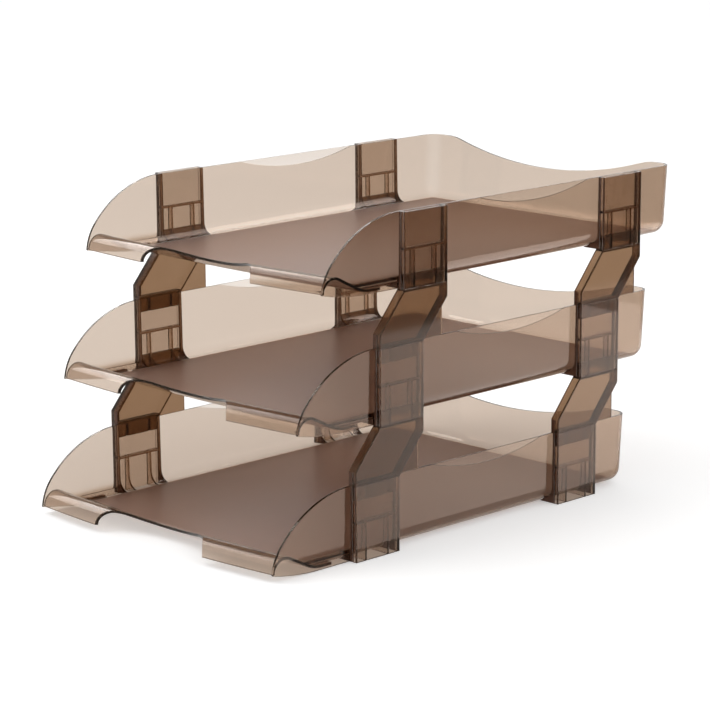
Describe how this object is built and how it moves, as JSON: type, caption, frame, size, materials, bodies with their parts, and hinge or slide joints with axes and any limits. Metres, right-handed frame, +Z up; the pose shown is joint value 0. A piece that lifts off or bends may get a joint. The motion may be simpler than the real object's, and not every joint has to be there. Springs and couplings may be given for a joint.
{
  "type": "letter tray",
  "caption": "Stacked open-fronted desk letter trays in clear smoke-brown plastic, each stepped back and held above the next by push-in risers along its side walls.",
  "frame": {"origin": "middle of the footprint of the whole stack, on the surface that it stands on", "axes": "+Z up, +X to the right seen from the open front, +Y to the rear, so the open fronts face -Y"},
  "size_m": [0.267, 0.4289, 0.2436],
  "materials": {
    "smoke_plastic": "transparent smoke-brown polystyrene, polished mould surface"
  },
  "bodies": {
    "bottom_tray": {"bottom_tray": "smoke_plastic"},
    "lower_riser_front_left": {"lower_riser_front_left": "smoke_plastic"},
    "lower_riser_front_right": {"lower_riser_front_right": "smoke_plastic"},
    "lower_riser_rear_left": {"lower_riser_rear_left": "smoke_plastic"},
    "lower_riser_rear_right": {"lower_riser_rear_right": "smoke_plastic"},
    "middle_tray": {"middle_tray": "smoke_plastic"},
    "upper_riser_front_left": {"upper_riser_front_left": "smoke_plastic"},
    "upper_riser_front_right": {"upper_riser_front_right": "smoke_plastic"},
    "upper_riser_rear_left": {"upper_riser_rear_left": "smoke_plastic"},
    "upper_riser_rear_right": {"upper_riser_rear_right": "smoke_plastic"},
    "top_tray": {"top_tray": "smoke_plastic"}
  },
  "joints": [
    {"name": "lower_riser_front_right_lift", "type": "slide", "parent": "bottom_tray", "child": "lower_riser_front_right", "axis": [0, 0, 1], "range_m": [0, 0.04]},
    {"name": "lower_riser_front_left_lift", "type": "slide", "parent": "bottom_tray", "child": "lower_riser_front_left", "axis": [0, 0, 1], "range_m": [0, 0.04]},
    {"name": "lower_riser_rear_left_lift", "type": "slide", "parent": "bottom_tray", "child": "lower_riser_rear_left", "axis": [0, 0, 1], "range_m": [0, 0.04]},
    {"name": "lower_riser_rear_right_lift", "type": "slide", "parent": "bottom_tray", "child": "lower_riser_rear_right", "axis": [0, 0, 1], "range_m": [0, 0.04]},
    {"name": "middle_tray_lift", "type": "slide", "parent": "lower_riser_front_right", "child": "middle_tray", "axis": [0, 0, 1], "range_m": [0, 0.04]},
    {"name": "upper_riser_front_right_lift", "type": "slide", "parent": "middle_tray", "child": "upper_riser_front_right", "axis": [0, 0, 1], "range_m": [0, 0.04]},
    {"name": "upper_riser_front_left_lift", "type": "slide", "parent": "middle_tray", "child": "upper_riser_front_left", "axis": [0, 0, 1], "range_m": [0, 0.04]},
    {"name": "upper_riser_rear_left_lift", "type": "slide", "parent": "middle_tray", "child": "upper_riser_rear_left", "axis": [0, 0, 1], "range_m": [0, 0.04]},
    {"name": "upper_riser_rear_right_lift", "type": "slide", "parent": "middle_tray", "child": "upper_riser_rear_right", "axis": [0, 0, 1], "range_m": [0, 0.04]},
    {"name": "top_tray_lift", "type": "slide", "parent": "upper_riser_front_right", "child": "top_tray", "axis": [0, 0, 1], "range_m": [0, 0.04]}
  ],
  "couplings": [
    {"joint": "lower_riser_front_left_lift", "follows": "lower_riser_front_right_lift", "ratio": 1},
    {"joint": "lower_riser_rear_left_lift", "follows": "lower_riser_front_right_lift", "ratio": 1},
    {"joint": "lower_riser_rear_right_lift", "follows": "lower_riser_front_right_lift", "ratio": 1},
    {"joint": "upper_riser_front_left_lift", "follows": "upper_riser_front_right_lift", "ratio": 1},
    {"joint": "upper_riser_rear_left_lift", "follows": "upper_riser_front_right_lift", "ratio": 1},
    {"joint": "upper_riser_rear_right_lift", "follows": "upper_riser_front_right_lift", "ratio": 1}
  ]
}
